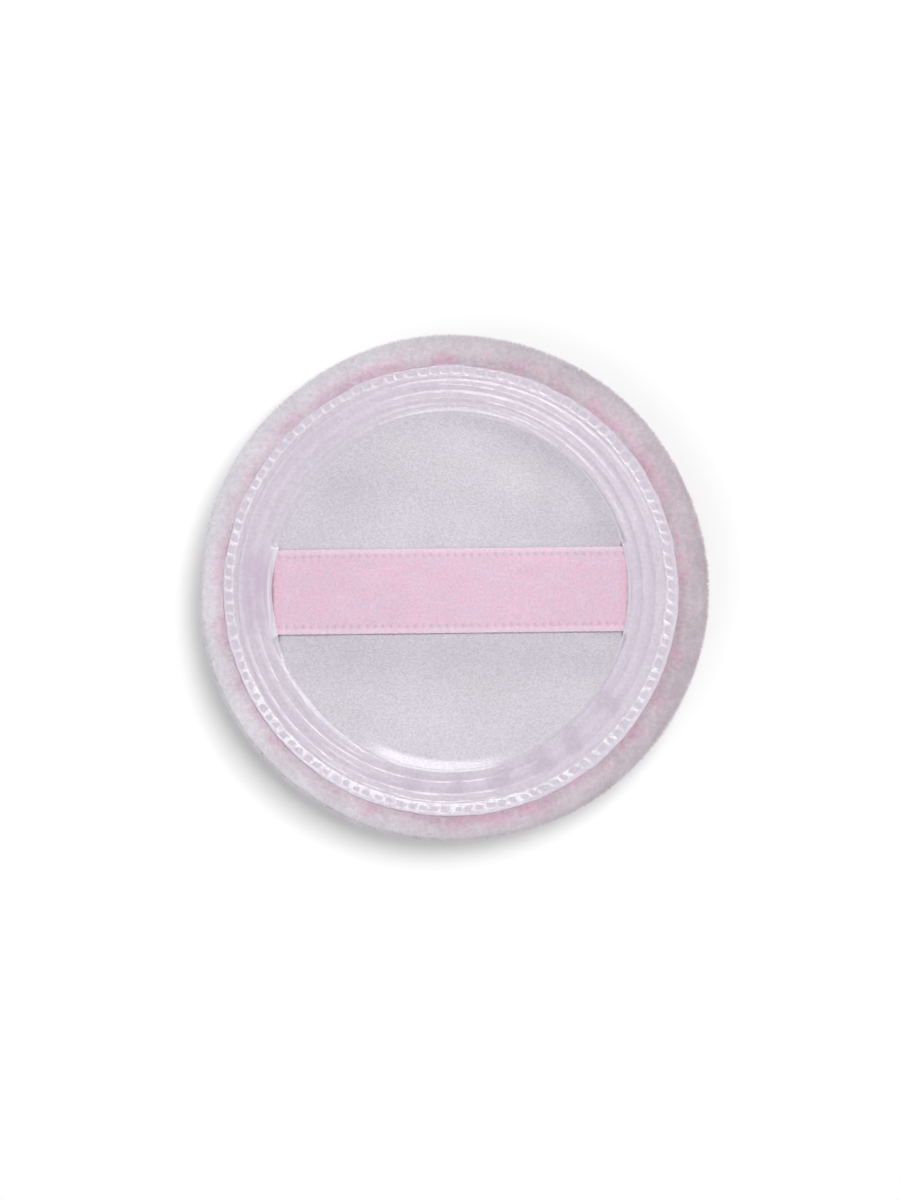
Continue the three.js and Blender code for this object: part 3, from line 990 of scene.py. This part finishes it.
        beyond = np.exp(-(((degrees - 320) / 24) ** 2))
        # Painted highlight: how white the walls are changes round the ring, most from the lower left to the
        # bottom
        white = 0.42 + 1.2 * lower + 0.3 * np.exp(-(((degrees - 170) / 30) ** 2)) + 0.9 * beyond
        rib = rng.uniform(0.5, 1.3, form.teeth)[nearest] * (1 - 0.85 * top)
        rib = rib * (1 - 0.8 * smooth(0.1, 0.45, along))
        bead = rng.uniform(0.4, 1.3, form.teeth)[pocket]
        bead = bead * np.where(along < 0, 1 - 0.9 * beyond, 0.1 + 0.15 * beyond)
        share = smooth(0.22, 0.45, across)
        shown = (rib * share + bead * (1 - share)) * smooth(form.rim - 0.08, form.rim - 0.25, radius)
        haze = 0.05 + 0.1 * lower
        return raised, ends * (haze + (1 - haze) * raised * white * shown)

    def material(self, form, colours):
        """Glossy milky film, whiter on its ribs and with painted highlights, painted shade in its grooves,
        fine rings in it and the pink tape showing through.
        """
        made, tree, surface = shader("welded film")
        place = places(tree)
        reach = measure(tree, "LENGTH", scaled(tree, place, FLAT))
        cloud = ramp(tree, noise(tree, place, 5 * MM, 3.0), 0.35, 0.7)
        # Painted shade where the film lies deep, with random clouding
        depth = maths(tree, "ADD", product(tree, painted(tree, "deep"), 0.4), product(tree, cloud, 0.3))
        film = mix(tree, depth, colours.film, colours.film_cloud_and_groove_shade)
        film = mix(tree, painted(tree, "cloth"), film, colours.satin)
        film = scaled(tree, film, ramp(tree, noise(tree, place, 0.4 * MM, 4.0, 0.65), 0.3, 0.7, 0.94, 1.06))
        film = mix(tree, self.tape_shown(tree, form, place), film, colours.film_tail)
        broken = ramp(tree, noise(tree, place, 0.45 * MM, 2.0), 0.38, 0.56, 0.25, 1.15)
        whole = ramp(tree, reach, (form.inner + 1) * MM, (form.inner + 3) * MM, 1.0, 0.0)
        # Milky ribs and painted highlights
        milk = product(tree, painted(tree, "milk"), maths(tree, "MAXIMUM", broken, whole))
        film = mix(tree, milk, film, colours.film_white_and_highlight)
        film = mix(tree, painted(tree, "seam"), film, dimmed(colours.pile_root, 0.7))
        tree.links.new(film, surface.inputs["Base Color"])
        tree.links.new(ramp(tree, cloud, 0.0, 1.0, 0.1, 0.2), surface.inputs["Roughness"])
        settle(surface, {"Specular IOR Level": 0.6, "Coat Weight": 0.4, "Coat Roughness": 0.08})
        wander = product(tree, noise(tree, place, 7 * MM), 4.0)
        rings = maths(tree, "ADD", product(tree, reach, 2 * math.pi / (0.73 * MM)), wander)
        ringed = ramp(tree, reach, (form.rim - 2.0) * MM, (form.rim - 1.7) * MM, 0.35, 0.0)
        rings = product(tree, maths(tree, "SINE", rings), ringed)
        relief = maths(tree, "ADD", rings, noise(tree, place, 0.3 * MM, 3.0, 0.6))
        bump(tree, surface, relief, 0.6, 0.05 * MM)
        return made

    def tape_shown(self, tree, form, place):
        """Where the tape shows through the film: far out past its left end, faintly past its right end."""
        spot = axes(tree, place)
        across = maths(tree, "ABSOLUTE", spot["Y"])
        strip = ramp(tree, across, (form.half_width - 2.0) * MM, (form.half_width + 0.8) * MM, 1.0, 0.0)
        left = ramp(tree, spot["X"], -(form.rim - 1.6) * MM, -(form.rim - 3.4) * MM)
        left = product(tree, left, maths(tree, "LESS_THAN", spot["X"], 0.0))
        right = ramp(tree, spot["X"], (form.inner + 2.4) * MM, (form.inner + 0.4) * MM, 0.0, 0.3)
        right = product(tree, right, maths(tree, "GREATER_THAN", spot["X"], 0.0))
        patches = ramp(tree, noise(tree, place, 2.2 * MM, 2.0), 0.3, 0.65, 0.25, 0.7)
        return product(tree, strip, maths(tree, "MAXIMUM", left, right), patches)


class PUFF_OT_ribbon(bpy.types.Operator):
    """Ribbon: a satin tape in two halves that meet in the middle, each held by the rim at one end."""

    bl_idname = "puff.ribbon"
    bl_label = "Ribbon"

    def execute(self, context):
        form = Form(context.scene.puff_sizes)
        material = self.material(form, context.scene.puff_colours)
        for side, name in ((-1, "left"), (1, "right")):
            self.half(form, material, side, name)
        return {"FINISHED"}

    def half(self, form, material, side, name):
        """One half of the tape: a flat loop with rounded selvedges, carried along the strap's arch.

        Along each selvedge runs a row of small stitch dimples, and the edge swells between them.
        """
        end = form.inner + 0.75
        across, map_width = 97, 0.05
        reach = np.concatenate([[0, 0.004], np.linspace(0.09, end, 230)])[:, None] * side
        along = len(reach)
        share = np.linspace(-1, 1, across)[None, :]
        swell = 0.03 * np.cos(2 * np.pi * reach / form.stitch)
        y = share * (form.half_width + swell * np.abs(share) ** 8)
        x = reach + 0 * share
        inset = form.half_width - np.abs(y)
        stitch = np.mod(reach / form.stitch, 1) - 0.5
        dimple = np.exp(-((stitch * form.stitch / 0.18) ** 2) - ((inset - 0.88) / 0.24) ** 2)
        selvedge = smooth(0.8, 0.45, inset)
        bow = -0.6 * (form.tape_under(x) - form.crown(np.abs(x)) - 0.05) * share**4
        flow = 0.035 * waves(np.stack([x, y * 0.4, 0 * x], -1), 11, 51)
        round_edge = np.sqrt(np.clip(1 - np.clip(1 - inset / 0.1, 0, 1) ** 2, 0, 1))
        free = smooth(form.inner, form.inner - 2.5, np.abs(x))
        middle = form.tape_under(x) + form.tape / 2 + (bow + flow) * free
        half_thick = form.tape / 2 * (0.35 + 0.65 * round_edge)
        top = middle + half_thick + 0.03 * selvedge - 0.07 * dimple
        low = middle - half_thick
        y = y + form.tilt * x
        points = np.stack([np.stack([x, y, top], -1), np.stack([x, y, low], -1)])
        count = along * across
        sheet = lattice(along, across)
        i, j = np.arange(along - 1), np.arange(across - 1)

        def wall(a, b):
            return np.stack([a, b, b + count, a + count], -1)

        first, last = i * across, i * across + across - 1
        hems = np.concatenate([
            wall(first, first + across)[:, ::-1], wall(last, last + across),
            wall(j, j + 1), wall(count - across + j, count - across + j + 1)[:, ::-1],
        ])
        faces = [np.concatenate([sheet, sheet[:, ::-1] + count, hems[:, ::-1]])]
        uv = np.stack([x, y - form.tilt * x], -1).reshape(-1, 2) * MM / map_width + 0.5
        piece = put_mesh(
            f"ribbon_{name}", points.reshape(-1, 3), faces, np.concatenate([uv, uv]), 2 * (across - 1),
            stitches=np.concatenate([dimple.ravel(), 0 * dimple.ravel()]),
            selvedge=np.concatenate([selvedge.ravel(), selvedge.ravel()]),
        )
        finish_piece(piece, material, body=None)
        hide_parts("ribbon_strap", f"ribbon_tail_{name}")
        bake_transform(piece)

    def material(self, form, colours):
        """Pink satin tape: warp streaks, a fine weave, paler selvedges, stitch holes, redder ends and a
        painted shade where the ends go under the rim.
        """
        made, tree, surface = shader("ribbon satin")
        place = places(tree)
        feeds = {
            "Vector": scaled(tree, place, (0.5, 1, 1)), "Colour": (*colours.ribbon, 1),
            "Shade": (*dimmed(colours.ribbon, 0.9), 1), "Blotch": 420.0, "Grain": 7000.0,
        }
        cloth = use_group(tree, mottle_group(), feeds)
        streaks = noise(tree, scaled(tree, place, (0.7, 1, 1)), 1.4 * MM, 5.0, 0.7)
        tape = mix(tree, ramp(tree, streaks, 0.36, 0.64), colours.ribbon, colours.ribbon_cool)
        tape = mix(tree, 0.3, tape, cloth["Colour"])
        tape = mix(tree, product(tree, painted(tree, "selvedge"), 0.8), tape, colours.ribbon_edge)
        along = axes(tree, place)["X"]
        far = maths(tree, "ABSOLUTE", maths(tree, "ADD", along, 0.1 * MM))
        ends = ramp(tree, far, (form.inner - 1.4) * MM, form.inner * MM, 0.0, 0.5)
        tape = mix(tree, ends, tape, colours.ribbon_deep)
        # Painted shade: a dark edge at each end, where the tape goes under the rim's lip
        painted_end_shade = ramp(tree, far, (form.inner - 0.2) * MM, (form.inner + 0.1) * MM, 0.0, 0.4)
        painted_end_shade = product(tree, painted_end_shade, ramp(tree, noise(tree, place, 0.9 * MM, 2.0), 0.35, 0.65, 0.3, 1.0))
        tape = mix(tree, painted_end_shade, tape, dimmed(colours.ribbon_deep, 0.4))
        # Darker towards the right end
        darker_right = ramp(tree, along, 2 * MM, 20 * MM, 1.0, 0.965)
        speckle = ramp(tree, noise(tree, place, 0.3 * MM, 2.0, 0.6), 0.3, 0.7, 0.94, 1.06)
        tape = scaled(tree, tape, product(tree, darker_right, speckle))
        holes = product(tree, painted(tree, "stitches"), 0.45)
        tape = mix(tree, holes, tape, dimmed(colours.ribbon_cool, 0.62))
        tree.links.new(tape, surface.inputs["Base Color"])
        weft = noise(tree, scaled(tree, place, (1, 0.15, 1)), 0.16 * MM, 1.0)
        warp = noise(tree, scaled(tree, place, (0.1, 1, 1)), 0.1 * MM, 1.0)
        weave = maths(tree, "ADD", product(tree, weft, 0.6), warp)
        tree.links.new(ramp(tree, weave, 0.5, 1.1, 0.34, 0.48), surface.inputs["Roughness"])
        settle(surface, {"Specular IOR Level": 0.4, "Sheen Weight": 0.15})
        bump(tree, surface, weave, 0.3, 0.04 * MM)
        return made


class PUFF_OT_inner_plies(bpy.types.Operator):
    """Foam core and weld film: the hidden plies, which keep their own solids."""

    bl_idname = "puff.inner_plies"
    bl_label = "Foam and film"

    def execute(self, context):
        colours = context.scene.puff_colours
        looks = {
            "foam_core": ("foam", colours.foam, 0.9, 0.6 * MM, 0.8),
            "weld_film": ("plain film", colours.film, 0.25, 2.5 * MM, 0.1),
        }
        for node, (name, tint, rough, size, relief) in looks.items():
            made, tree, surface = shader(name)
            cells = noise(tree, places(tree), size, 3.0, 0.6)
            tree.links.new(mix(tree, cells, tint, dimmed(tint, 0.86)), surface.inputs["Base Color"])
            settle(surface, {"Roughness": rough})
            bump(tree, surface, cells, relief, 0.2 * MM)
            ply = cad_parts[node]
            ply.data.materials.clear()
            ply.data.materials.append(made)
        return {"FINISHED"}


class PUFF_OT_stage(bpy.types.Operator):
    """Stage: a pale table, soft studio light and a camera straight above the puff."""

    bl_idname = "puff.stage"
    bl_label = "Stage"

    def execute(self, context):
        scene = context.scene
        self.floor(scene.puff_colours)
        self.lights(scene)
        self.camera(scene)
        scene.view_settings.view_transform = "Standard"
        return {"FINISHED"}

    def floor(self, colours):
        """A wide table just under the puff, a little brighter to the camera alone."""
        half, drop = 900.0, 0.05
        corners = np.array([[-half, -half, 0], [half, -half, 0], [half, half, 0], [-half, half, 0]])
        table = put_mesh("table", corners - [0, 0, drop], [np.array([[0, 1, 2, 3]])])
        made, tree, surface = shader("table white")
        paper = ramp(tree, noise(tree, places(tree), 60 * MM), 0.2, 0.8, 0.985, 1.0)
        tree.links.new(scaled(tree, tuple(colours.floor), paper), surface.inputs["Base Color"])
        settle(surface, {"Roughness": 0.9, "Specular IOR Level": 0.0, "Emission Strength": 1.0})
        seen = put(tree, "ShaderNodeLightPath", {}).outputs["Is Camera Ray"]
        tree.links.new(mix(tree, seen, (0, 0, 0), (0.05, 0.05, 0.05)), surface.inputs["Emission Color"])
        table.data.materials.append(made)

    def lights(self, scene):
        """Six soft lamps, each with its place, size and power, and a pale world.

        Key and side light the surfaces, and the others only shine back from what is glossy.
        """
        world = bpy.data.worlds.new("studio")
        world.use_nodes = True
        background = world.node_tree.nodes["Background"]
        settle(background, {"Color": (1, 1, 1, 1), "Strength": 0.3})
        scene.world = world
        lamps = {
            "strip": ((0.08, 0.573, 0.689), (0.5, 0.2), 1.5),
            "window": ((0.443, 0.372, 0.689), (0.45, 0.2), 1.6),
            "shelf": ((0.178, 0.383, 0.795), (0.7, 0.12), 0.75),
            "glint": ((-0.08, -0.53, 0.72), (0.6, 0.2), 2.4),
            "key": ((0.26, 0.31, 0.92), (0.5, 0.5), 7.0),
            "side": ((-0.5, -0.4, 0.75), (0.9, 0.9), 2.3),
        }
        for name, (place, size, power) in lamps.items():
            data = bpy.data.lights.new(name, "AREA")
            data.shape = "RECTANGLE"
            data.size, data.size_y = size
            data.energy = power
            lamp = bpy.data.objects.new(name, data)
            lamp.location = place
            lamp.rotation_euler = (-Vector(place)).to_track_quat("-Z", "Y").to_euler()
            lamp.visible_diffuse = name in ("key", "side")
            lamp.visible_glossy = not lamp.visible_diffuse
            scene.collection.objects.link(lamp)

    def camera(self, scene):
        """Straight down, so that the belly fills the share of the frame that it has in the photo."""
        frame_width, frame_height = 900, 1200
        middle_x, middle_y, belly_pixels = 451.0, 590.6, 255.5
        across, down = middle_x - frame_width / 2, middle_y - frame_height / 2
        level = 7.5 * MM
        sizes = scene.puff_sizes
        per_pixel = sizes.belly_radius / belly_pixels
        data = bpy.data.cameras.new("above")
        data.lens = 135
        data.sensor_width = 36
        eye = bpy.data.objects.new("above", data)
        distance = per_pixel * frame_height * data.lens / data.sensor_width
        eye.location = (-across * per_pixel, down * per_pixel, level + distance)
        data.clip_start, data.clip_end = 0.01, 10
        scene.collection.objects.link(eye)
        scene.camera = eye


class PUFF_PT_panel(bpy.types.Panel):
    """Sidebar panel with the puff's sizes, colours and pieces."""

    bl_idname = "PUFF_PT_panel"
    bl_label = "Powder puff"
    bl_space_type = "VIEW_3D"
    bl_region_type = "UI"
    bl_category = "Puff"

    def draw(self, context):
        for made in (context.scene.puff_sizes, context.scene.puff_colours):
            box = self.layout.box()
            for key in made.__annotations__:
                box.prop(made, key)
        for step in STEPS:
            self.layout.operator(step.bl_idname)


STEPS = (
    PUFF_OT_stage, PUFF_OT_velour, PUFF_OT_inner_plies, PUFF_OT_back_panel, PUFF_OT_weld_rim, PUFF_OT_ribbon,
)
CLASSES = (PuffSizes, PuffColours, *STEPS, PUFF_PT_panel)


def register():
    for item in CLASSES:
        bpy.utils.register_class(item)
    bpy.types.Scene.puff_sizes = bpy.props.PointerProperty(type=PuffSizes)
    bpy.types.Scene.puff_colours = bpy.props.PointerProperty(type=PuffColours)


def unregister():
    del bpy.types.Scene.puff_colours
    del bpy.types.Scene.puff_sizes
    for item in reversed(CLASSES):
        bpy.utils.unregister_class(item)


def main():
    register()
    bpy.ops.puff.stage()
    bpy.ops.puff.velour()
    bpy.ops.puff.inner_plies()
    bpy.ops.puff.back_panel()
    bpy.ops.puff.weld_rim()
    bpy.ops.puff.ribbon()


if __name__ == "__main__":
    main()
